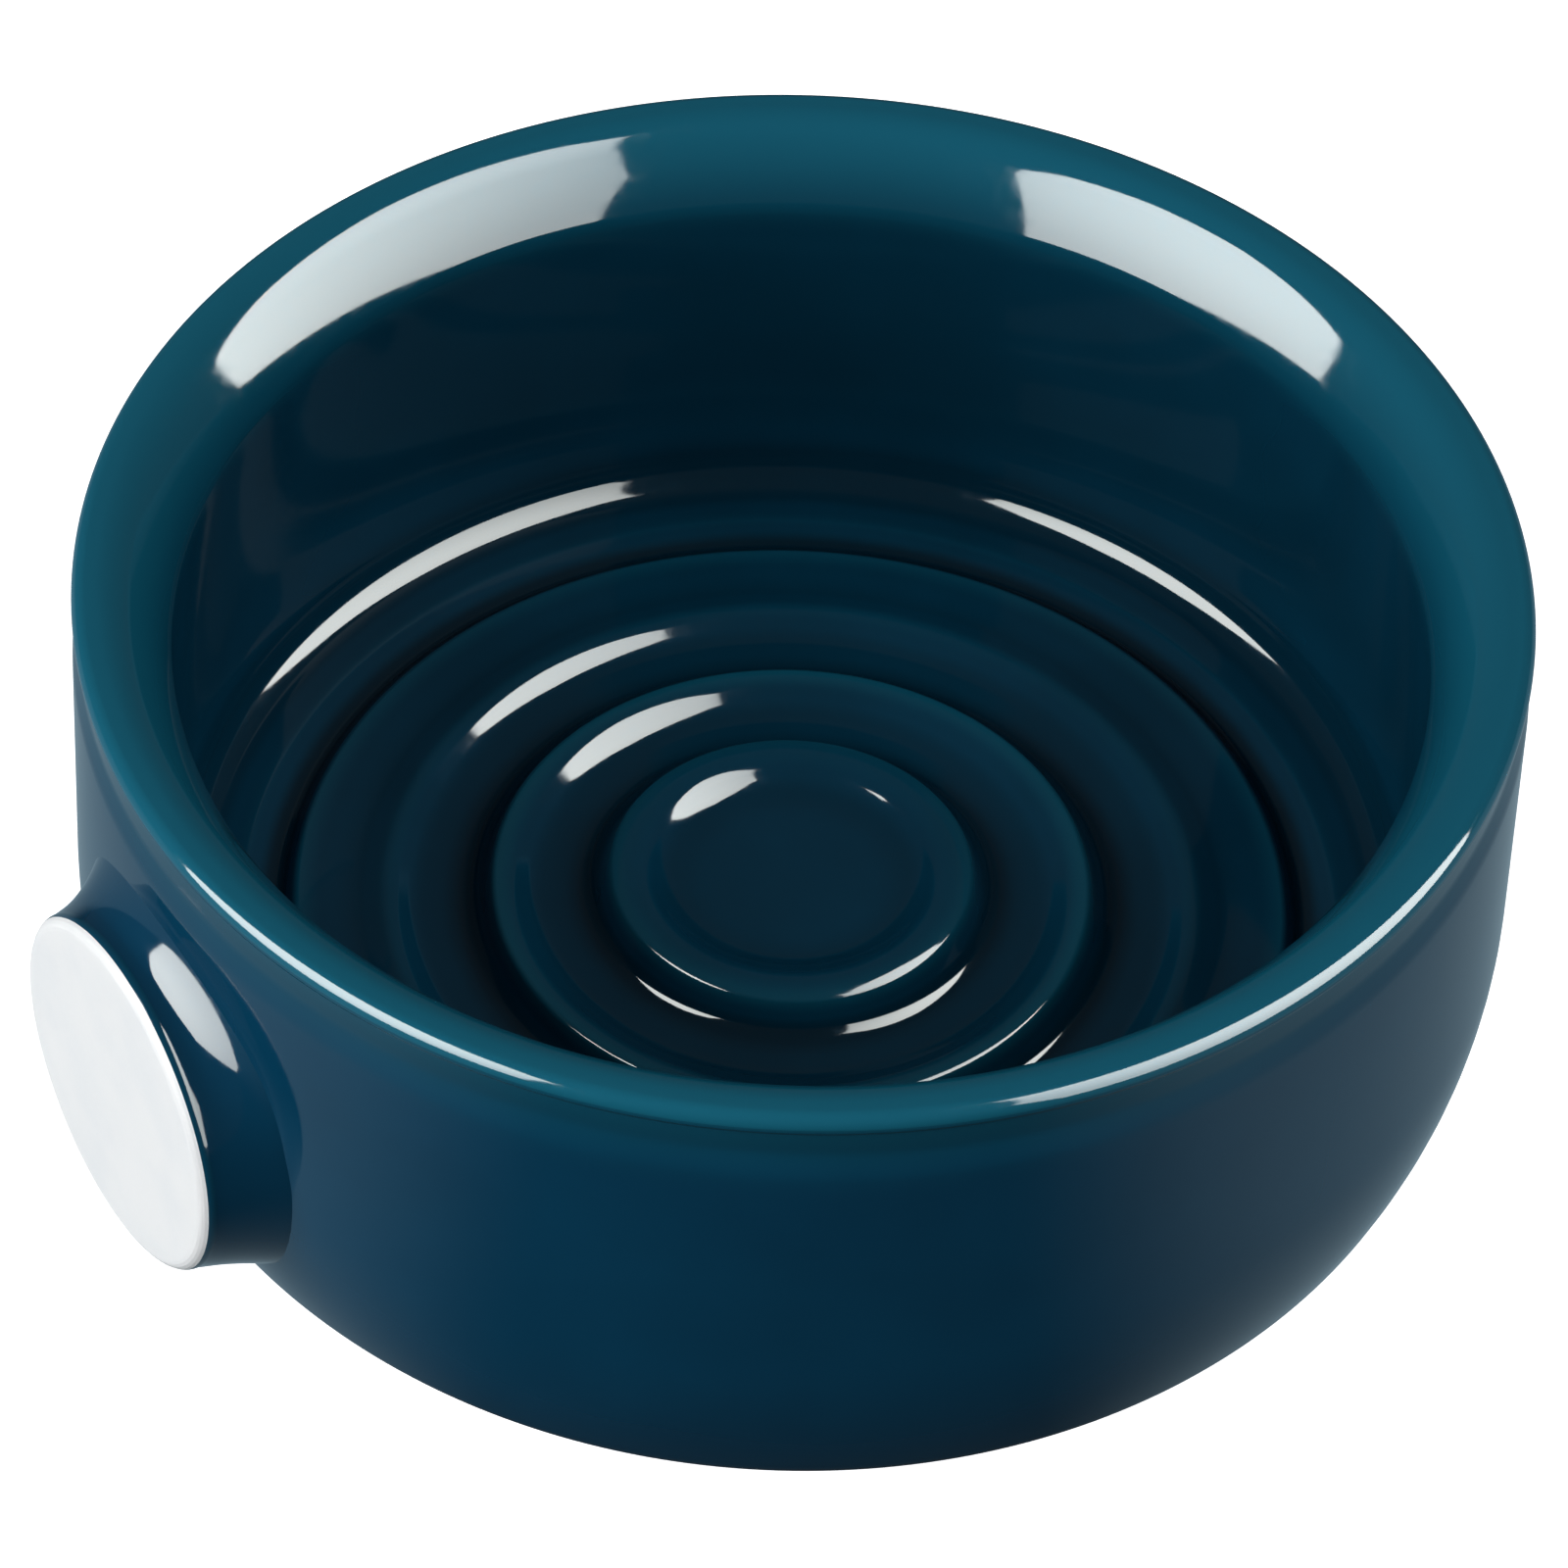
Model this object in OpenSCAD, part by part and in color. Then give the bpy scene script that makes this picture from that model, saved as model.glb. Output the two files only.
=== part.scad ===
// Lather bowl: a low, wide ceramic bowl with moulded rings in its floor and a stub knob on its wall.
// Millimetres. The origin is the centre of the foot, +Z is up and the knob points along -X.
// An outline is a list of corners [radius, height, rounding] on the surface of the glaze, with the
// clay on its right. The clay's own outline is the same one moved to the right by the glaze's thickness.

/* [Bowl] */
// Diameter over the lip
lip_d = 125; // [122:0.5:128]
// Height from the foot to the top of the lip
bowl_h = 52; // [50:0.5:60]
// Thickness of the wall with its glaze
wall_t = 8.5; // [8:0.1:10]
// Depth of the shallow groove under the lip
neck_depth = 0.5; // [0.3:0.05:0.8]
// Radius between the inside wall and the floor
heel_r = 3.3; // [2:0.1:5]

/* [Floor] */
// Height of the disc in the middle of the floor
disc_z = 15.1; // [13:0.1:17]
// Radius of that disc
disc_r = 10.7; // [10.2:0.05:11.2]
// Width of the valley inside the second ring
valley_w = 4.2; // [3.8:0.1:4.4]
// Depth of the groove outside the first two rings
groove_depth = 2.8; // [2:0.1:3]
// Drop from the terrace to the narrow gutter outside it
gutter_depth = 1.5; // [1:0.1:1.6]

/* [Foot] */
// Outer diameter of the bare foot
foot_d = 107.2; // [106:0.2:108]
// Width of the bare foot
foot_w = 6.2; // [4:0.2:9]
// Depth of the hollow inside the foot
hollow_depth = 2; // [1:0.2:3]

/* [Knob] */
// Diameter of the knob over its glaze
knob_d = 32.4; // [28:0.2:32.8]
// Distance from the bowl's axis to the knob's end face
knob_reach = 67.15; // [66.5:0.05:80]
// Height of the knob's axis
knob_z = 22; // [21:0.1:22]
// Rounding of the knob's edge
knob_edge = 1.2; // [0.8:0.1:1.5]
// How much the knob's side widens in each millimetre towards the wall
knob_taper = 0.25; // [0.1:0.01:0.3]
// Width of the concave join on the wall above the knob
join_top = 2.2; // [1:0.1:3]
// Width of that join beside and below the knob
join_side = 0.6; // [0.5:0.1:1]

/* [Glaze] */
// Thickness of the glaze
glaze_t = 0.45; // [0.3:0.05:0.5]

/* [Hidden] */
$fn = 96;

clay = [0.95, 0.95, 0.94];
slip = [0.86, 0.86, 0.84];
teal = [0.04, 0.25, 0.35];
navy = [0.05, 0.16, 0.26];

lip_r = lip_d / 2;
wall_in_r = lip_r - wall_t;
lip_edge = 1.2;
seam_z = bowl_h - lip_edge - 0.05;
// The flare opens from the upright wall in two stages, each [radius, height, rounding]
flare_corners = [
    [wall_in_r, bowl_h - 6.83, 3.4],
    [wall_in_r + 1.55, bowl_h - 3.52, 19.8],
    [wall_in_r + 4.66, bowl_h, 3.95]
];

// The belly is one wide arc from the upright wall to the turn above the foot.
belly_r = 45;
belly_corner_z = 13;
turn_corner = [lip_r - 4.3, 2.4];
belly_bend = atan2(lip_r - turn_corner[0], belly_corner_z - turn_corner[1]);
belly_top_z = belly_corner_z + belly_r * tan(belly_bend / 2);
foot_r = foot_d / 2;
foot_corner = [foot_r + 1.6, 1.05];
turn_r = 6.4;
foot_in_r = foot_r - foot_w;
hollow_r = foot_in_r - 2.4;

knob_r = knob_d / 2;
face_r = knob_r - knob_edge;
side_x = knob_edge + 0.2 - knob_reach;
// How far round the knob's edge, in degrees, the clay is bare before the glaze begins
bare_turn = 60;
// Share of the side, from the head, that is a plain taper before the join begins to widen
plain_part = 0.2;
// Clearance that keeps the flat facets of the join out of the curved clay beside them
facet_gap = 0.03;
join_turns = 72;
join_steps = 6;
head_steps = 4;

// Corners of the floor from the disc to the gutter. Both inner rings drop to a groove outside them.
ring_1 = [disc_r + 5.2, disc_z + 1.05];
ring_2 = [ring_1[0] + 10.4, disc_z - 0.45];
ring_3 = [ring_2[0] + 9, disc_z - 1.65];
terrace_z = disc_z - 2.5;
terrace_r = ring_3[0] + 8.4;
function groove(ring) = [
    [ring[0], ring[1], 0.8],
    [ring[0] + 1.6, ring[1] - groove_depth, 2.4]
];
floor_corners = concat(
    [[0, disc_z, 0], [disc_r, disc_z, 5.3], [disc_r + 3, disc_z + 2.05, 3.5]],
    groove(ring_1),
    [
        [ring_2[0] - valley_w, ring_1[1] - groove_depth - 0.15, 4.6],
        [ring_2[0] - 1.4, ring_2[1] + 0.1, 2.8]
    ],
    groove(ring_2),
    [
        [ring_3[0] - 2.4, ring_2[1] - groove_depth + 0.35, 4.5],
        [ring_3[0], ring_3[1], 2.4],
        [ring_3[0] + 2.9, terrace_z + 0.1, 4],
        [terrace_r, terrace_z, 1],
        [terrace_r + 1.3, terrace_z - gutter_depth, 1],
        [terrace_r + 4.5, terrace_z - 0.55, 2]
    ]
);
inside_corners = concat(
    floor_corners,
    [[wall_in_r, terrace_z - 0.5, heel_r]],
    flare_corners,
    [[lip_r, bowl_h, lip_edge], [lip_r, seam_z, 0]]
);
outside_corners = [
    [lip_r, seam_z, 0],
    [lip_r, bowl_h - 1.6, 0.5],
    [lip_r - neck_depth + 0.1, bowl_h - 2.2, 0.5],
    [lip_r - neck_depth, bowl_h - 4.8, 4],
    [lip_r, bowl_h - 7.2, 6],
    [lip_r, belly_corner_z, belly_r],
    [turn_corner[0], turn_corner[1], turn_r],
    [foot_corner[0], foot_corner[1], 0]
];

// Outlines: the unit vector, the normal on the clay's side, and the turn between two directions
function unit(v) = v / norm(v);
function clayward(d) = [d[1], -d[0]];
function turn(a, b) = atan2(cross(a, b), a * b);
function flat2(corner) = [corner[0], corner[1]];
function heading(c, i) = unit(flat2(c[i + 1]) - flat2(c[i]));
function spin(v, a) = [v[0] * cos(a) - v[1] * sin(a), v[0] * sin(a) + v[1] * cos(a)];

// One rounded corner of an outline that lies t deep in the clay: an arc tangent to both sides
function round_corner(c, i, t) =
    let (
        d_in = heading(c, i - 1),
        d_out = heading(c, i),
        a = turn(d_in, d_out),
        bend_r = max(0.05, a > 0 ? c[i][2] + t : c[i][2] - t),
        side = a > 0 ? -1 : 1,
        n = clayward(d_in) + clayward(d_out),
        vertex = flat2(c[i]) + n * t / (1 + clayward(d_in) * clayward(d_out)),
        start = vertex - d_in * bend_r * tan(abs(a) / 2),
        centre = start + clayward(d_in) * side * bend_r,
        steps = max(2, ceil(abs(a) / 7.5))
    )
    [for (k = [0:steps]) centre + spin(start - centre, a * k / steps)];

// The whole outline, t deep in the clay
function outline(c, t) =
    let (last = len(c) - 1)
    concat(
        [flat2(c[0]) + clayward(heading(c, 0)) * t],
        [for (i = [1:last - 1]) each round_corner(c, i, t)],
        [flat2(c[last]) + clayward(heading(c, last - 1)) * t]
    );
function reversed(v) = [for (i = [len(v) - 1:-1:0]) v[i]];

// Centre of the arc between the belly and the foot, and the height where that arc begins
belly_dir = unit([lip_r, belly_corner_z] - turn_corner);
foot_dir = unit(foot_corner - turn_corner);
turn_start = turn_corner + belly_dir * turn_r * tan(abs(turn(-belly_dir, foot_dir)) / 2);
turn_centre = turn_start + turn_r * [-belly_dir[1], belly_dir[0]];

// Radius of the wall at a height, t deep in the clay, from the foot's turn to the neck
function wall_r(z, t) =
    z > belly_top_z ? lip_r - t
    : z > turn_start[1] ? lip_r - belly_r + sqrt(pow(belly_r - t, 2) - pow(belly_top_z - z, 2))
    : turn_centre[0] + sqrt(pow(turn_r - t, 2) - pow(turn_centre[1] - z, 2));

// Knob: a point at distance r from its axis and at turn g from the top, on the wall and t deep
function knob_y(r, g) = r * sin(g);
function knob_up(r, g) = knob_z + r * cos(g);
function wall_x(r, g, t) = -sqrt(pow(wall_r(knob_up(r, g), t), 2) - pow(knob_y(r, g), 2));
function on_knob(r, x, g) = [x, knob_y(r, g), knob_up(r, g)];

// Radius of the tapering side at x, and where that side meets the wall
function side_r(x, t) = knob_r - t + knob_taper * (x - side_x);
function side_end_r(g, t) = side_r(wall_x(side_r(wall_x(knob_r, g, t), t), g, t), t);

// Width of the join at turn g: widest over the top, fading to the sides
function top_share(g) = min(1, max(0, (cos(g) - 0.2) / 0.6));
function join_w(g) = join_side + (join_top - join_side) * pow(top_share(g), 2) * (3 - 2 * top_share(g));
function join_r(g, t) = side_end_r(g, 0) + join_w(g) - t / 2;

// The side runs straight at first, then widens as a parabola until it meets the wall.
function join_curve(g, t) =
    let (
        length = wall_x(join_r(g, t), g, t) - side_x,
        spread = join_r(g, t) - side_r(side_x + length, t)
    )
    [
        for (k = [0:join_steps])
            let (
                v = k / join_steps,
                x = side_x + length * (plain_part + (1 - plain_part) * v)
            )
            on_knob(side_r(x, t) + spread * v * v, x, g)
    ];
// Knob's edge from turn a to turn b of its quarter circle, t deep, as [radius, distance along -X]
function edge_arc(a, b, t) = [
    for (k = [0:head_steps])
        let (q = a + (b - a) * k / head_steps)
        [face_r + (knob_edge - t) * sin(q), knob_reach - knob_edge + (knob_edge - t) * cos(q)]
];
function glazed_edge(g, t) = [for (p = edge_arc(bare_turn, 90, t)) on_knob(p[0], -p[1], g)];
function wall_back(g, t) = [
    for (k = [1:3])
        let (r = side_end_r(g, t) + facet_gap + (join_r(g, t) - side_end_r(g, t)) * (1 - k / 3))
        on_knob(r, wall_x(r, g, t) - facet_gap, g)
];
function turns() = [for (i = [0:join_turns - 1]) 360 * i / join_turns];

// From the rim of the bare face to the wall, t deep
function knob_skin(g, t) = concat(glazed_edge(g, t), [on_knob(knob_r - t, side_x, g)], join_curve(g, t));

// A closed ring from one closed section per turn
module section_ring(sections) {
    rows = len(sections);
    cols = len(sections[0]);
    polyhedron(
        points = [for (s = sections) each s],
        faces = [
            for (i = [0:rows - 1], j = [0:cols - 1])
                let (
                    a = i * cols + j,
                    b = i * cols + (j + 1) % cols,
                    c = (i + 1) % rows * cols + (j + 1) % cols,
                    d = (i + 1) % rows * cols + j
                )
                each [[a, b, c], [a, c, d]]
        ],
        convexity = 6
    );
}

// A solid turned about the knob's axis from [radius, distance along -X] points
module turned_knob(points) {
    translate([0, 0, knob_z])
        rotate([0, -90, 0])
            rotate_extrude()
                polygon(points);
}

// All that lies inside the clay's outer surface, for trimming the knob to the wall
module wall_solid() {
    rotate_extrude()
        polygon(concat([[0, 0.5]], [[0, bowl_h - 1]], outline(outside_corners, glaze_t)));
}

// The bare casting: lip, wall, floor with its rings, and foot
module bowl_body() {
    color(clay)
        rotate_extrude()
            polygon(concat(
                outline(inside_corners, glaze_t),
                outline(outside_corners, glaze_t),
                [
                    [foot_r + 0.5, 0.4],
                    [foot_r, 0],
                    [foot_in_r, 0],
                    [foot_in_r - 0.8, 0.5],
                    [hollow_r, hollow_depth],
                    [0, hollow_depth]
                ]
            ));
}

// Stub cast on its own, with a bare end face and a small step where the glaze begins
module knob() {
    color(clay)
        difference() {
            turned_knob(concat(
                [[0, wall_in_r], [0, knob_reach]],
                edge_arc(0, bare_turn, 0),
                edge_arc(bare_turn, 90, glaze_t),
                [[knob_r - glaze_t, -side_x], [side_r(-wall_in_r, glaze_t), wall_in_r]]
            ));
            wall_solid();
        }
}

// Ring of joining slip, wiped hollow between the knob and the wall
module knob_slip_joint() {
    color(slip)
        section_ring([
            for (g = turns())
                concat(
                    [for (p = join_curve(g, glaze_t)) p + [0, sin(g), cos(g)] * facet_gap],
                    wall_back(g, glaze_t)
                )
        ]);
}

// Glaze over the disc, the rings, the gutter, the inside wall, the flare and the lip
module inner_glaze() {
    color(teal)
        rotate_extrude()
            polygon(concat(outline(inside_corners, 0), reversed(outline(inside_corners, glaze_t))));
}

// Glaze down the outside, cut out where the knob's own glaze lies
module outer_glaze() {
    color(navy)
        difference() {
            rotate_extrude()
                polygon(concat(outline(outside_corners, 0), reversed(outline(outside_corners, glaze_t))));
            translate([-knob_reach, 0, knob_z])
                rotate([90, 0, 90])
                    linear_extrude(height = knob_reach - wall_in_r)
                        polygon([for (g = turns()) (join_r(g, 0) + 2 * facet_gap) * [sin(g), cos(g)]]);
        }
}

// Glaze over the knob's edge, its side and the join
module knob_glaze() {
    depth = glaze_t - 2 * facet_gap;
    color(navy)
        section_ring([
            for (g = turns())
                concat(knob_skin(g, 0), reversed(knob_skin(g, depth)))
        ]);
}

// Disc of glaze inside the foot
module base_glaze() {
    color(navy)
        translate([0, 0, hollow_depth - glaze_t])
            cylinder(r = hollow_r - 1, h = glaze_t);
}

bowl_body();
knob();
knob_slip_joint();
inner_glaze();
outer_glaze();
knob_glaze();
base_glaze();
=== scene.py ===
"""Lather bowl: a low ceramic bowl with moulded rings in its floor and a stub knob on its wall.

The CAD's glaze and clay are replaced by finer shapes turned from the same outlines. Metres, +Z up,
the foot's centre at the origin and the knob along -X. Outlines are written in millimetres.
"""

import math

import bpy
from mathutils import Matrix, Vector

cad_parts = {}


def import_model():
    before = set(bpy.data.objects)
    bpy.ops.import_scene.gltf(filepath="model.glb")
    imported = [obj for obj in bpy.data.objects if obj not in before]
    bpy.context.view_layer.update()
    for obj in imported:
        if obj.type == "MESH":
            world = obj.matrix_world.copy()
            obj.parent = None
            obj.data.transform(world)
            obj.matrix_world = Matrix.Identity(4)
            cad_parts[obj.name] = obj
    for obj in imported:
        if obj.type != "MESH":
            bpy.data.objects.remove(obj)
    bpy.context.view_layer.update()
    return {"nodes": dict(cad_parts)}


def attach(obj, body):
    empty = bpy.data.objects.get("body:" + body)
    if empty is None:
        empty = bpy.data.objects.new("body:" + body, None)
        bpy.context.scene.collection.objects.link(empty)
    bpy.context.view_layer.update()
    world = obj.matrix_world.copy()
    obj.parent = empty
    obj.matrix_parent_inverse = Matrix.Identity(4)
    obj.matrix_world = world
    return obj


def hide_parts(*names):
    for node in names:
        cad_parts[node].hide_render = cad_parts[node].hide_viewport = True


MM = 0.001
SEGMENTS = 288
ARC_DEGREES = 3.0

# ---- The bowl's outlines, as corners (radius, height, rounding) on the surface of the glaze ----
LIP_R = 62.5
BOWL_H = 52.0
# Where the coat inside meets the coat outside, under the lip
SEAM_Z = 50.75
GLAZE_T = 0.45
# Radius of the belly's long arc, and of the arc that turns it in to the foot
BELLY_R = 45.0
TURN_R = 6.4
# From the disc in the middle, over two rings and a terrace, to the gutter along the wall
FLOOR_CORNERS = [
    (0, 15.1, 0),
    (10.7, 15.1, 5.3),
    (13.7, 17.15, 3.5),
    (15.9, 16.15, 0.8),
    (17.5, 13.35, 2.4),
    (22.1, 13.2, 4.6),
    (24.9, 14.75, 2.8),
    (26.3, 14.65, 0.8),
    (27.9, 11.85, 2.4),
    (32.9, 12.2, 4.5),
    (35.3, 13.45, 2.4),
    (38.2, 12.7, 4),
    (43.7, 12.6, 1),
    (45.0, 11.1, 1),
    (48.2, 12.05, 2),
]
# The floor, then up the wall, out along the flare, over the lip and down to the seam
INSIDE_CORNERS = FLOOR_CORNERS + [
    (54, 12.1, 3.3),
    (54, 45.17, 3.4),
    (55.55, 48.48, 19.8),
    (58.66, BOWL_H, 3.95),
    (LIP_R, BOWL_H, 1.2),
    (LIP_R, SEAM_Z, 0),
]
# From the seam over the neck, down the belly and round to the foot
OUTSIDE_CORNERS = [
    (LIP_R, SEAM_Z, 0),
    (LIP_R, 50.4, 0.5),
    (62.1, 49.8, 0.5),
    (62.0, 47.2, 4),
    (LIP_R, 44.8, 6),
    (LIP_R, 13, BELLY_R),
    (58.2, 2.4, TURN_R),
    (55.2, 1.05, 0),
]
# The bare foot ring and the hollow inside it, as plain points (radius, height)
FOOT_R = 53.6
FOOT_W = 6.2
HOLLOW_R = 45.0
HOLLOW_DEPTH = 2.0
FOOT_POINTS = [
    (FOOT_R + 0.5, 0.4),
    (FOOT_R, 0),
    (FOOT_R - FOOT_W, 0),
    (FOOT_R - FOOT_W - 0.8, 0.5),
    (HOLLOW_R, HOLLOW_DEPTH),
    (0, HOLLOW_DEPTH),
]

# ---- The knob ----
KNOB_R = 16.2
KNOB_REACH = 67.15
KNOB_Z = 22.0
KNOB_EDGE = 1.2
# Where the side starts to taper, just behind the rounding of the edge, and its growth per mm
SIDE_X = KNOB_EDGE + 0.2 - KNOB_REACH
KNOB_TAPER = 0.25
# Share of the side, from the head, that is a plain taper before the join begins to widen
PLAIN_PART = 0.2
# How far round the edge the clay is bare before the glaze begins, and how thin the glaze draws there
BARE_TURN = math.radians(60)
EDGE_BEND = 0.5
# Width of the join over the knob's top, and at its sides and below
JOIN_TOP = 2.2
JOIN_SIDE = 0.6
# Cosines of the turns from the top at which the join starts to narrow and is at its narrowest
WIDE_COS = 0.8
NARROW_COS = 0.2
# How deep the coat's end goes into the wall, so that no gap shows
SINK = 0.02
JOIN_STEPS = 28
EDGE_STEPS = 10

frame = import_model()


# ---- Outlines ----
def smoothstep(share):
    share = min(1, max(0, share))
    return share ** 2 * (3 - 2 * share)


def heading(a, b):
    return (Vector(b[:2]) - Vector(a[:2])).normalized()


def clayward(d):
    """The clay lies to the right of every outline."""
    return Vector((d.y, -d.x))


def rounded_corner(before, corner, after, depth):
    """Arc points at one corner, depth deep in the clay, each with its outward bend in 1/mm."""
    d_in, d_out = heading(before, corner), heading(corner, after)
    turn = math.atan2(d_in.cross(d_out), d_in.dot(d_out))
    side = -1 if turn > 0 else 1
    bend_r = max(0.05, corner[2] - side * depth)
    n_in, n_out = clayward(d_in), clayward(d_out)
    vertex = Vector(corner[:2]) + (n_in + n_out) * depth / (1 + n_in.dot(n_out))
    start = vertex - d_in * bend_r * math.tan(abs(turn) / 2)
    centre = start + n_in * side * bend_r
    steps = max(3, math.ceil(math.degrees(abs(turn)) / ARC_DEGREES))
    points = []
    for k in range(steps + 1):
        spoke = start - centre
        spoke.rotate(Matrix.Rotation(turn * k / steps, 2))
        points.append((centre + spoke, side / corner[2]))
    return points


def outline(corners, depth):
    """The rounded outline, depth deep in the clay, as (point, bend) pairs."""
    first, last = heading(*corners[:2]), heading(*corners[-2:])
    points = [(Vector(corners[0][:2]) + clayward(first) * depth, 0.0)]
    for before, corner, after in zip(corners, corners[1:], corners[2:]):
        points += rounded_corner(before, corner, after, depth)
    points.append((Vector(corners[-1][:2]) + clayward(last) * depth, 0.0))
    return subdivided(points)


def subdivided(points, longest=1.5):
    """Splits the long straight stretches, so that the bend can fade along them."""
    dense = [points[0]]
    for (a, bend_a), (b, bend_b) in zip(points, points[1:]):
        pieces = max(1, math.ceil((b - a).length / longest))
        for k in range(1, pieces):
            dense.append((a.lerp(b, k / pieces), 0.0))
        dense.append((b, bend_b))
    return dense


def smoothed_bend(points, reach):
    """The bend of each point averaged over reach mm of outline either way."""
    bends = []
    for p, _ in points:
        total = weight = 0.0
        for (a, bend_a), (b, bend_b) in zip(points, points[1:]):
            middle = (a + b) / 2
            near = max(0.0, 1 - (middle - p).length / reach)
            share = near * (b - a).length
            total += share * (bend_a + bend_b) / 2
            weight += share
        bends.append(total / weight if weight else 0.0)
    return bends


# ---- Meshes ----
def new_object(name, vertices, faces, bends=None, sharp_degrees=40):
    mesh = bpy.data.meshes.new(name)
    mesh.from_pydata([v * MM for v in vertices], [], faces)
    mesh.update()
    if bends is not None:
        attribute = mesh.attributes.new("bend", "FLOAT", "POINT")
        attribute.data.foreach_set("value", bends)
    mesh.shade_smooth()
    mesh.set_sharp_from_angle(angle=math.radians(sharp_degrees))
    obj = bpy.data.objects.new(name, mesh)
    bpy.context.scene.collection.objects.link(obj)
    return obj


def turned(name, points, bends):
    """A solid turned about the bowl's axis from a closed outline. A point on the axis is one vertex."""
    vertices, values, rings = [], [], []
    for p, bend in zip(points, bends):
        count = 1 if p.x < 1e-6 else SEGMENTS
        rings.append([len(vertices) + k for k in range(count)])
        for k in range(count):
            a = 2 * math.pi * k / SEGMENTS
            vertices.append(Vector((p.x * math.cos(a), p.x * math.sin(a), p.y)))
            values.append(bend)
    faces = []
    for ring, below in zip(rings, rings[1:] + rings[:1]):
        if len(ring) == 1 and len(below) == 1:
            continue
        for k in range(SEGMENTS):
            m = (k + 1) % SEGMENTS
            corners = [ring[k % len(ring)], below[k % len(below)], below[m % len(below)], ring[m % len(ring)]]
            # On the axis two corners are the same vertex, and the face is a triangle
            faces.append([c for n, c in enumerate(corners) if c not in corners[:n]])
    return new_object(name, vertices, faces, values)


def glaze_skin(name, corners, reach=2.0):
    """A coat of glaze: the outline and the same outline on the clay, turned about the axis."""
    outer = outline(corners, 0)
    inner = outline(corners, GLAZE_T)
    bends = smoothed_bend(outer, reach)
    points = [p for p, _ in outer] + [p for p, _ in reversed(inner)]
    return turned(name, points, bends + [0.0] * len(inner))


def clay_body(name):
    """The clay under both coats, closed by the foot ring and the hollow inside it."""
    inside = [p for p, _ in outline(INSIDE_CORNERS, GLAZE_T)]
    outside = [p for p, _ in outline(OUTSIDE_CORNERS, GLAZE_T)]
    points = inside + outside[1:] + [Vector(p) for p in FOOT_POINTS]
    return turned(name, points, [0.0] * len(points))


def wall_arcs():
    """The top of the belly's arc, then the start and the centre of the arc that turns to the foot."""
    belly, turn, foot = (Vector(c[:2]) for c in OUTSIDE_CORNERS[-3:])
    up = (belly - turn).normalized()
    out = (foot - turn).normalized()
    belly_top = belly.y + BELLY_R * math.tan(math.atan2(up.x, up.y) / 2)
    start = turn + up * TURN_R * math.tan((-up).angle(out) / 2)
    return belly_top, start.y, start + TURN_R * Vector((-up.y, up.x))


BELLY_TOP_Z, TURN_TOP_Z, TURN_CENTRE = wall_arcs()


def wall_r(z, depth):
    """The wall's radius at a height: straight above the belly's arc, then the belly, then the turn."""
    if z > BELLY_TOP_Z:
        return LIP_R - depth
    if z > TURN_TOP_Z:
        return LIP_R - BELLY_R + math.sqrt((BELLY_R - depth) ** 2 - (BELLY_TOP_Z - z) ** 2)
    return TURN_CENTRE.x + math.sqrt((TURN_R - depth) ** 2 - (TURN_CENTRE.y - z) ** 2)


def wall_x(r, g, depth):
    """Where the wall is, at distance r from the knob's axis and turn g from its top."""
    return -math.sqrt(wall_r(KNOB_Z + r * math.cos(g), depth) ** 2 - (r * math.sin(g)) ** 2)


def on_knob(r, x, g):
    return Vector((x, r * math.sin(g), KNOB_Z + r * math.cos(g)))


def side_r(x, depth):
    """The radius of the knob's plain taper at x."""
    return KNOB_R - depth + KNOB_TAPER * (x - SIDE_X)


def join_r(g, depth):
    """Where the join ends on the wall: wide over the knob's top, narrow at its sides and below."""
    end = side_r(wall_x(KNOB_R, g, 0), 0)
    end = side_r(wall_x(end, g, 0), 0)
    wide = smoothstep((math.cos(g) - NARROW_COS) / (WIDE_COS - NARROW_COS))
    return end + JOIN_SIDE + (JOIN_TOP - JOIN_SIDE) * wide - depth / 2


def knob_section(g, depth):
    """The knob's edge, tapering side and join at turn g, depth deep in the clay."""
    points = []
    for k in range(EDGE_STEPS + 1):
        q = BARE_TURN + (math.pi / 2 - BARE_TURN) * k / EDGE_STEPS
        r = KNOB_R - KNOB_EDGE + (KNOB_EDGE - depth) * math.sin(q)
        points.append(on_knob(r, KNOB_EDGE - KNOB_REACH - (KNOB_EDGE - depth) * math.cos(q), g))
    points.append(on_knob(KNOB_R - depth, SIDE_X, g))
    length = wall_x(join_r(g, depth), g, depth) - SIDE_X
    spread = join_r(g, depth) - side_r(SIDE_X + length, depth)
    for k in range(JOIN_STEPS + 1):
        v = k / JOIN_STEPS
        x = SIDE_X + length * (PLAIN_PART + (1 - PLAIN_PART) * v)
        points.append(on_knob(side_r(x, depth) + spread * v * v, x + SINK * v ** 8, g))
    return points


def ring_of_sections(name, sections, bends):
    """A closed ring from equal sections, each joined to the next."""
    rows, cols = len(sections), len(sections[0])
    faces = []
    for i in range(rows):
        for j in range(cols):
            a, b = i * cols + j, i * cols + (j + 1) % cols
            c, d = (i + 1) % rows * cols + (j + 1) % cols, (i + 1) % rows * cols + j
            faces.append([a, b, c, d])
    vertices = [p for s in sections for p in s]
    return new_object(name, vertices, faces, bends * rows, sharp_degrees=50)


def knob_coat(name):
    turns = [2 * math.pi * k / SEGMENTS for k in range(SEGMENTS)]
    sections = [knob_section(g, 0) + knob_section(g, GLAZE_T)[::-1] for g in turns]
    edge = [EDGE_BEND] * (EDGE_STEPS + 1)
    return ring_of_sections(name, sections, edge + [0.0] * (len(sections[0]) - len(edge)))


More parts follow.
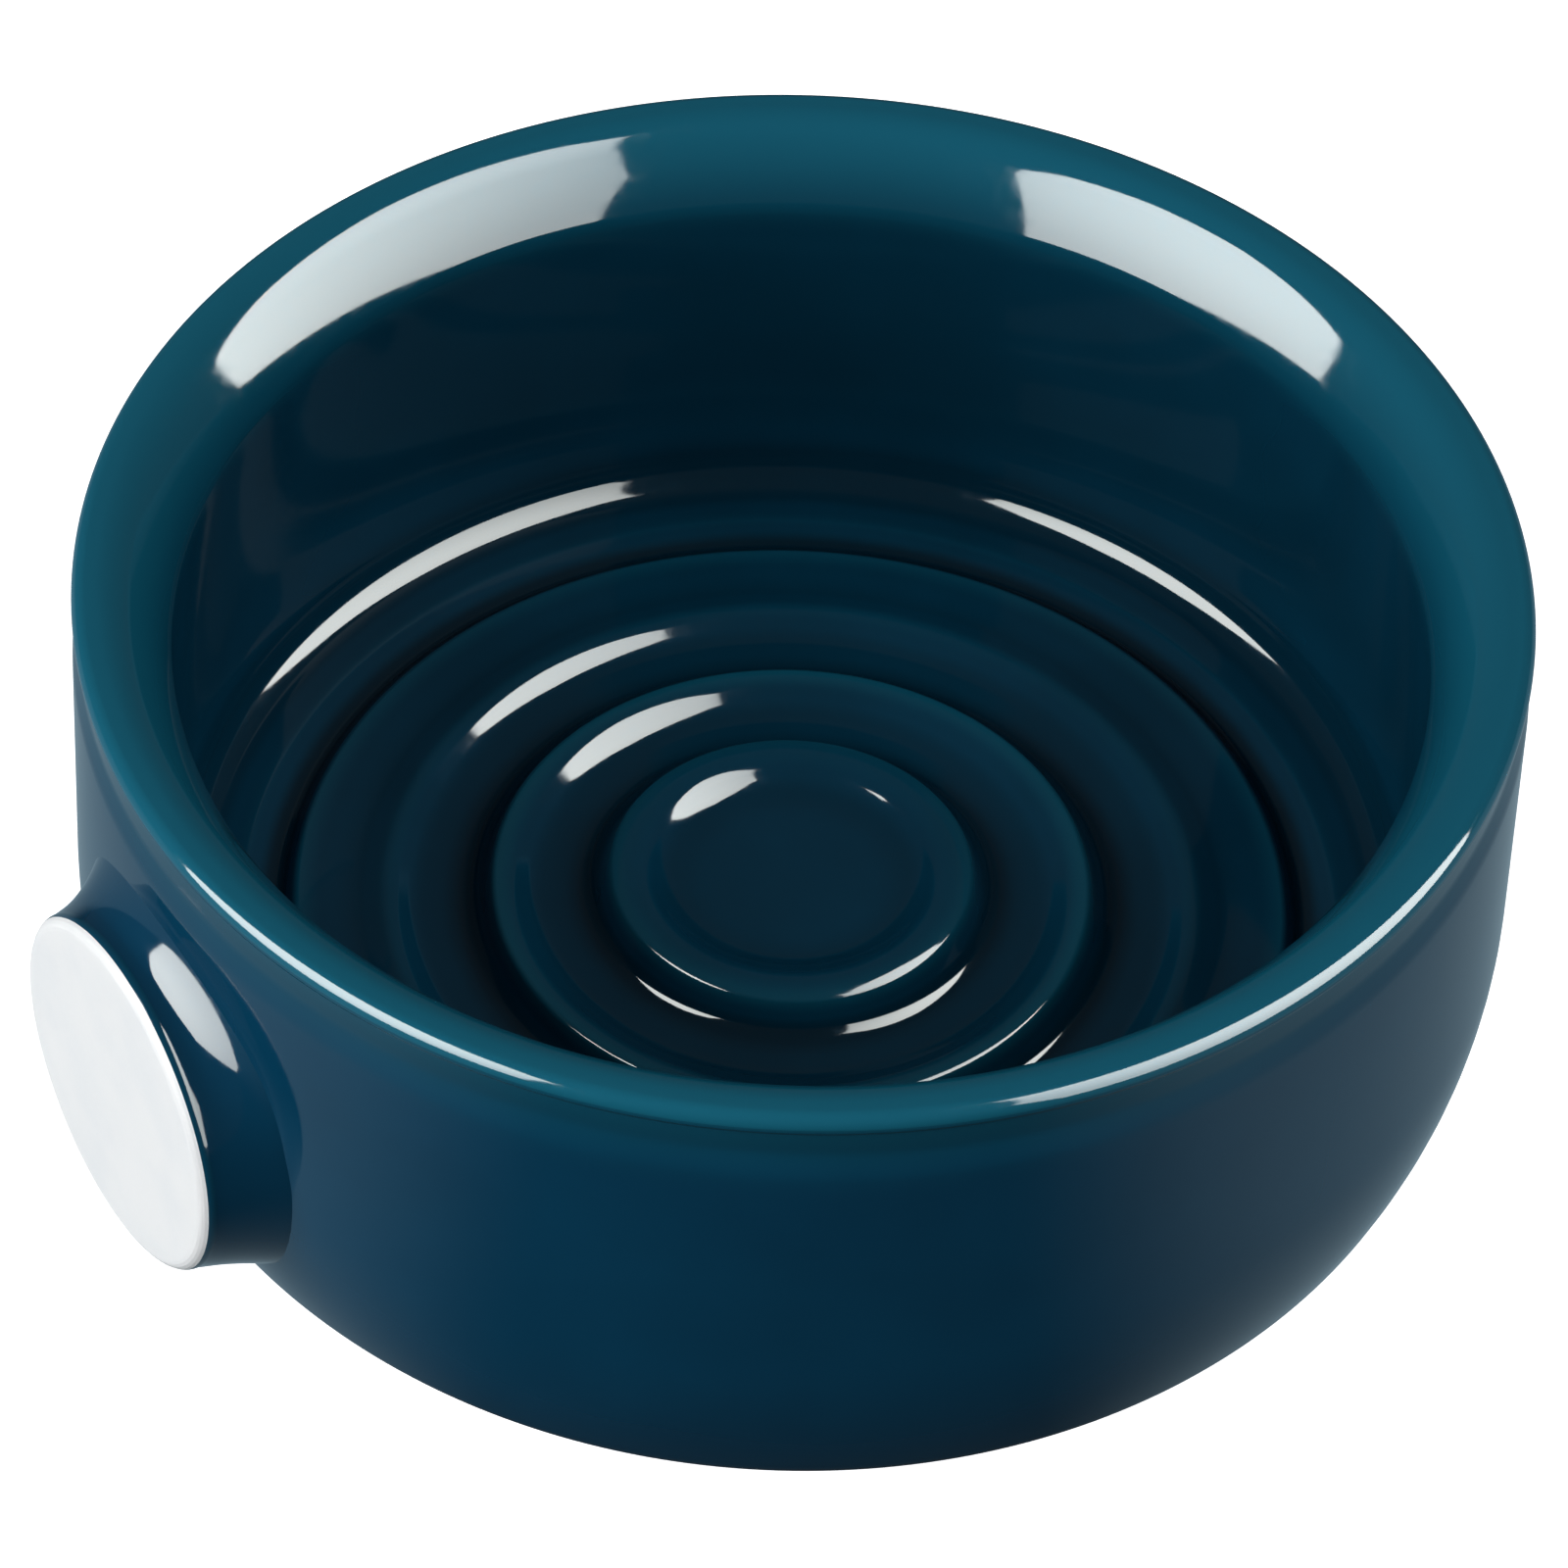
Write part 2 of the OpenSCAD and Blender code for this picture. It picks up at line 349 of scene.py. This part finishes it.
# ---- Shaders ----
class Graph:
    """A short way to write a node tree."""

    def __init__(self, tree):
        self.tree = tree
        tree.nodes.clear()

    def node(self, kind, inputs=(), **settings):
        n = self.tree.nodes.new(kind)
        for key, value in settings.items():
            setattr(n, key, value)
        for key, value in dict(inputs).items():
            if isinstance(value, bpy.types.NodeSocket):
                self.tree.links.new(value, n.inputs[key])
            else:
                n.inputs[key].default_value = value
        return n

    def remap(self, value, low, high, to_low=0.0, to_high=1.0):
        n = self.node(
            "ShaderNodeMapRange",
            {"Value": value, "From Min": low, "From Max": high, "To Min": to_low, "To Max": to_high},
            interpolation_type="SMOOTHSTEP",
        )
        return n.outputs["Result"]

    def noise(self, where, scale, detail):
        n = self.node("ShaderNodeTexNoise", {"Vector": where, "Scale": scale, "Detail": detail})
        return n.outputs["Fac"]

    def mix(self, factor, a, b):
        """Blends two colours. The node's sockets share names, so they are set by number."""
        n = self.node("ShaderNodeMix", data_type="RGBA")
        for index, value in ((0, factor), (6, a), (7, b)):
            if isinstance(value, bpy.types.NodeSocket):
                self.tree.links.new(value, n.inputs[index])
            else:
                n.inputs[index].default_value = value
        return n.outputs[2]


def material(name):
    m = bpy.data.materials.new(name)
    m.use_nodes = True
    return m, Graph(m.node_tree)


def ceramic(g, colour, roughness, ior, relief, strength, depth):
    """The surface that glaze and clay share, with a relief of the given depth in metres."""
    bump = g.node("ShaderNodeBump", {"Height": relief, "Strength": strength, "Distance": depth})
    shader = g.node(
        "ShaderNodeBsdfPrincipled",
        {"Base Color": colour, "Roughness": roughness, "IOR": ior, "Normal": bump.outputs["Normal"]},
    )
    g.node("ShaderNodeOutputMaterial", {"Surface": shader.outputs["BSDF"]})


# Heights in metres over which the inside is darkened above the floor, as painted shade for the deep wall
WALL_PAINTED_SHADE = (0.016, 0.026)
# Heights over which the glaze pales towards the lip, and how far: partly thinner glaze, partly painted sheen
# on the crown
LIP_THIN_GLAZE_AND_SHEEN = (0.042, 0.0525)
LIP_THIN_GLAZE_AND_SHEEN_SHARE = 0.85
# Outward bends in 1/mm, as smoothed along the outline, over which glaze pools or draws thin
POOLS = (0.0, -0.5)
DRAWS_THIN = (0.1, 1.1)


def glaze(name, deep, middle, thin, wall_painted_shade):
    """Gloss glaze, pale where it draws thin over edges, dark where it pools. It is darkened above the floor
    as painted shade, and paled towards the lip, partly as thinner glaze and partly as painted sheen.
    """
    m, g = material(name)
    where = g.node("ShaderNodeTexCoord").outputs["Object"]
    height = g.node("ShaderNodeSeparateXYZ", {"Vector": where}).outputs["Z"]
    bend = g.node("ShaderNodeAttribute", attribute_name="bend").outputs["Fac"]
    cloud = g.noise(where, 60.0, 3.0)
    speck = g.noise(where, 900.0, 2.0)
    ripple = g.noise(where, 45.0, 1.0)
    colour = g.mix(g.remap(cloud, 0.3, 0.7, 0.0, 0.25), middle, deep)
    # Painted shade: darker from the floor upwards, standing in for the shaded inside wall
    colour = g.mix(g.remap(height, *WALL_PAINTED_SHADE, 0.0, wall_painted_shade), colour, deep)
    colour = g.mix(g.remap(bend, *POOLS), colour, deep)
    colour = g.mix(g.remap(bend, *DRAWS_THIN), colour, thin)
    # Partly thinner glaze and partly painted sheen: paler towards the lip
    colour = g.mix(g.remap(height, *LIP_THIN_GLAZE_AND_SHEEN, 0.0, LIP_THIN_GLAZE_AND_SHEEN_SHARE), colour, thin)
    ceramic(g, colour, g.remap(speck, 0.35, 0.75, 0.05, 0.09), 1.5, ripple, 0.1, 0.0004)
    return m


def bare_clay(name, light, dark):
    """Fired white stoneware: a fine grain, faintly uneven in colour."""
    m, g = material(name)
    where = g.node("ShaderNodeTexCoord").outputs["Object"]
    grain = g.noise(where, 2500.0, 4.0)
    cloud = g.noise(where, 120.0, 3.0)
    colour = g.mix(g.remap(cloud, 0.35, 0.75), light, dark)
    ceramic(g, colour, g.remap(grain, 0.3, 0.7, 0.45, 0.6), 1.45, grain, 0.15, 0.00005)
    return m


teal = glaze(
    "teal_glaze",
    deep=(0.0012, 0.018, 0.034, 1),
    middle=(0.002, 0.048, 0.094, 1),
    thin=(0.008, 0.125, 0.195, 1),
    # How much painted shade darkens the inside above the floor
    wall_painted_shade=0.45,
)
navy = glaze(
    "navy_glaze",
    deep=(0.0012, 0.024, 0.055, 1),
    middle=(0.002, 0.046, 0.098, 1),
    thin=(0.005, 0.085, 0.14, 1),
    wall_painted_shade=0.0,
)
clay = bare_clay("fired_clay", (0.86, 0.87, 0.88, 1), (0.82, 0.84, 0.86, 1))
slip = bare_clay("joining_slip", (0.8, 0.8, 0.79, 1), (0.76, 0.76, 0.75, 1))


# ---- The pieces ----
def place(obj, mat, slot, *nodes):
    obj.data.materials.clear()
    obj.data.materials.append(mat)
    if nodes:
        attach(obj, "root")
        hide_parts(*nodes)


place(glaze_skin("glaze_inside", INSIDE_CORNERS), teal, "teal_glaze", "inner_glaze")
place(glaze_skin("glaze_outside", OUTSIDE_CORNERS), navy, "navy_glaze", "outer_glaze")
place(knob_coat("glaze_knob"), navy, "navy_glaze", "knob_glaze")
place(clay_body("clay_bowl"), clay, "fired_clay", "bowl_body")
place(frame["nodes"]["knob"], clay, "fired_clay")
place(frame["nodes"]["knob_slip_joint"], slip, "joining_slip")
place(frame["nodes"]["base_glaze"], navy, "navy_glaze")


# ---- Studio ----
# Directions are (azimuth, elevation) in degrees. The azimuth turns clockwise from straight behind the
# bowl, as the camera sees it, so that 90 is to the right and -90 to the left.
CAMERA_TURN = math.radians(32.4)
PANEL_DISTANCE = 2.0
PANEL_STRENGTH = 16.0
# A panel's brightness near its hot spot and far from it, and after a second mirror bounce
HOT_RADIUS, DIM_RADIUS, DIM_SHARE = 0.3, 2.2, 0.5
SECOND_BOUNCE_SHARE = 0.04
FILL_DISTANCE = 1.2
FILL_SIZE = 1.0
ROOM_LIGHT = 0.06
SHEET_HALF = 20
TABLE_DROP = 0.001
# The corners of each soft box
RIGHT_BOX = [
    (119.5, 73), (106, 73), (82, 73), (58.5, 68.5), (51.5, 63.5), (56.5, 58), (60, 50.5), (65, 43),
    (73, 25), (76, 4.5), (89, 1.5), (107.5, 0.5), (126.5, -1), (143, 3.5), (148, 27.5),
]
LEFT_BOX = [
    (-147.5, 37.5), (-133, 52), (-110.5, 57), (-93, 53), (-90, 44.5), (-89.5, 35.5), (-89, 22.5),
    (-92, 1), (-98, -0.5), (-110.5, -1.5), (-123.5, -2.5), (-136.5, -3.5), (-146.5, 2),
]


def toward(azimuth, elevation, distance):
    """The point at a distance from the bowl in a direction given in degrees."""
    a, e = math.radians(azimuth) + CAMERA_TURN, math.radians(elevation)
    return Vector((math.sin(a) * math.cos(e), math.cos(a) * math.cos(e), math.sin(e))) * distance


def plane(name, corners, mat):
    mesh = bpy.data.meshes.new(name)
    mesh.from_pydata(corners, [], [range(len(corners))])
    mesh.materials.append(mat)
    obj = bpy.data.objects.new(name, mesh)
    bpy.context.scene.collection.objects.link(obj)
    return obj


def seen_by(obj, camera=False, glossy=False, shadow=False):
    obj.visible_camera = camera
    obj.visible_diffuse = False
    obj.visible_glossy = glossy
    obj.visible_transmission = False
    obj.visible_shadow = shadow


def soft_box_material(name, hot_spot):
    """A glowing sheet, brightest round its hot spot and faint after a second mirror bounce."""
    m, g = material(name)
    where = g.node("ShaderNodeTexCoord").outputs["Object"]
    away = g.node("ShaderNodeVectorMath", {0: where, 1: hot_spot}, operation="DISTANCE").outputs["Value"]
    level = g.remap(away, HOT_RADIUS, DIM_RADIUS, PANEL_STRENGTH, PANEL_STRENGTH * DIM_SHARE)
    bounces = g.node("ShaderNodeLightPath").outputs["Ray Depth"]
    kept = g.remap(bounces, 1.4, 1.6, 1.0, SECOND_BOUNCE_SHARE)
    glow = g.node("ShaderNodeMath", {0: level, 1: kept}, operation="MULTIPLY").outputs["Value"]
    shader = g.node("ShaderNodeEmission", {"Color": (0.96, 1.0, 0.97, 1), "Strength": glow})
    g.node("ShaderNodeOutputMaterial", {"Surface": shader.outputs["Emission"]})
    return m


def soft_box(name, directions, hot_spot):
    """A panel that only mirror-like surfaces see. The fill lights do its share of the soft light."""
    corners = [toward(*d, PANEL_DISTANCE) for d in directions]
    obj = plane(name, corners, soft_box_material(name, toward(*hot_spot, PANEL_DISTANCE)))
    seen_by(obj, glossy=True)


def fill_light(name, direction, power):
    """A soft square light that is never seen in the glaze."""
    data = bpy.data.lights.new(name, "AREA")
    data.shape = "SQUARE"
    data.size = FILL_SIZE
    data.energy = power
    obj = bpy.data.objects.new(name, data)
    bpy.context.scene.collection.objects.link(obj)
    obj.location = toward(*direction, FILL_DISTANCE)
    obj.rotation_mode = "QUATERNION"
    obj.rotation_quaternion = obj.location.to_track_quat("Z", "Y")
    obj.visible_glossy = False
    obj.visible_camera = False


def level_sheet(name, mat):
    a = SHEET_HALF
    return plane(name, [(-a, -a, 0), (a, -a, 0), (a, a, 0), (-a, a, 0)], mat)


def floor_material():
    m, g = material("pale_floor")
    lit = g.node("ShaderNodeBsdfDiffuse", {"Color": (0.9, 0.9, 0.9, 1)})
    glow = g.node("ShaderNodeEmission", {"Color": (1, 1, 1, 1), "Strength": 1.0})
    both = g.node("ShaderNodeAddShader", {0: lit.outputs[0], 1: glow.outputs[0]})
    g.node("ShaderNodeOutputMaterial", {"Surface": both.outputs[0]})
    return m


def table_material():
    """What the outside mirrors: a glowing sheet, not a lamp, painted bright to the left and the right and
    dark in front, as a table lit from the sides and shaded in front would look.
    """
    m, g = material("mirrored_table")
    where = g.node("ShaderNodeTexCoord").outputs["Object"]
    outward = g.node("ShaderNodeVectorMath", {0: where}, operation="NORMALIZE").outputs["Vector"]
    right = toward(90, 0, 1)
    side = g.node("ShaderNodeVectorMath", {0: outward, 1: right}, operation="DOT_PRODUCT").outputs["Value"]
    size = g.node("ShaderNodeMath", {0: side}, operation="ABSOLUTE").outputs["Value"]
    strength = g.remap(size, 0.4, 0.85, 0.04, 0.36)
    glow = g.node("ShaderNodeEmission", {"Color": (0.6, 0.85, 1.0, 1), "Strength": strength})
    g.node("ShaderNodeOutputMaterial", {"Surface": glow.outputs["Emission"]})
    return m


def world():
    """White behind the object, and a faint bluish room in what it mirrors."""
    w = bpy.data.worlds.new("studio")
    bpy.context.scene.world = w
    w.use_nodes = True
    g = Graph(w.node_tree)
    ray = g.node("ShaderNodeLightPath").outputs["Is Camera Ray"]
    room = g.node("ShaderNodeBackground", {"Color": (0.9, 0.95, 1.0, 1), "Strength": ROOM_LIGHT})
    backdrop = g.node("ShaderNodeBackground", {"Color": (1, 1, 1, 1), "Strength": 1.0})
    both = g.node("ShaderNodeMixShader", {0: ray, 1: room.outputs[0], 2: backdrop.outputs[0]})
    g.node("ShaderNodeOutputWorld", {"Surface": both.outputs[0]})


soft_box("right_box", RIGHT_BOX, hot_spot=(71.5, 37))
soft_box("left_box", LEFT_BOX, hot_spot=(-105.5, 39))
fill_light("fill_right", (108.5, 37), power=8.0)
fill_light("fill_left", (-118, 22.5), power=15.5)

# The floor under the bowl is what the camera sees, and the table just below it is what the glaze mirrors
seen_by(level_sheet("floor", floor_material()), camera=True, shadow=True)
table = level_sheet("table", table_material())
table.location.z = -TABLE_DROP
seen_by(table, glossy=True)

world()
bpy.context.scene.view_settings.view_transform = "Standard"
bpy.context.scene.view_settings.look = "None"


# ---- Camera ----
# The point that it looks at and its distance from it, in mm
AIM = Vector((-0.45, 1.15, 26))
DISTANCE = 855
ELEVATION = math.radians(45.73)
ROLL = math.radians(2.61)


def camera():
    """A long lens in front of the bowl, turned by CAMERA_TURN towards the knob."""
    data = bpy.data.cameras.new("camera")
    data.sensor_width = 36
    data.lens = 225
    data.clip_start = 0.05
    data.clip_end = 50
    obj = bpy.data.objects.new("camera", data)
    bpy.context.scene.collection.objects.link(obj)
    turn = Matrix.Rotation(-CAMERA_TURN, 4, "Z")
    tilt = Matrix.Rotation(math.pi / 2 - ELEVATION, 4, "X")
    roll = Matrix.Rotation(ROLL, 4, "Z")
    back = Matrix.Translation((0, 0, DISTANCE * MM))
    obj.matrix_world = Matrix.Translation(AIM * MM) @ turn @ tilt @ back @ roll
    bpy.context.scene.camera = obj


camera()

bpy.context.view_layer.update()
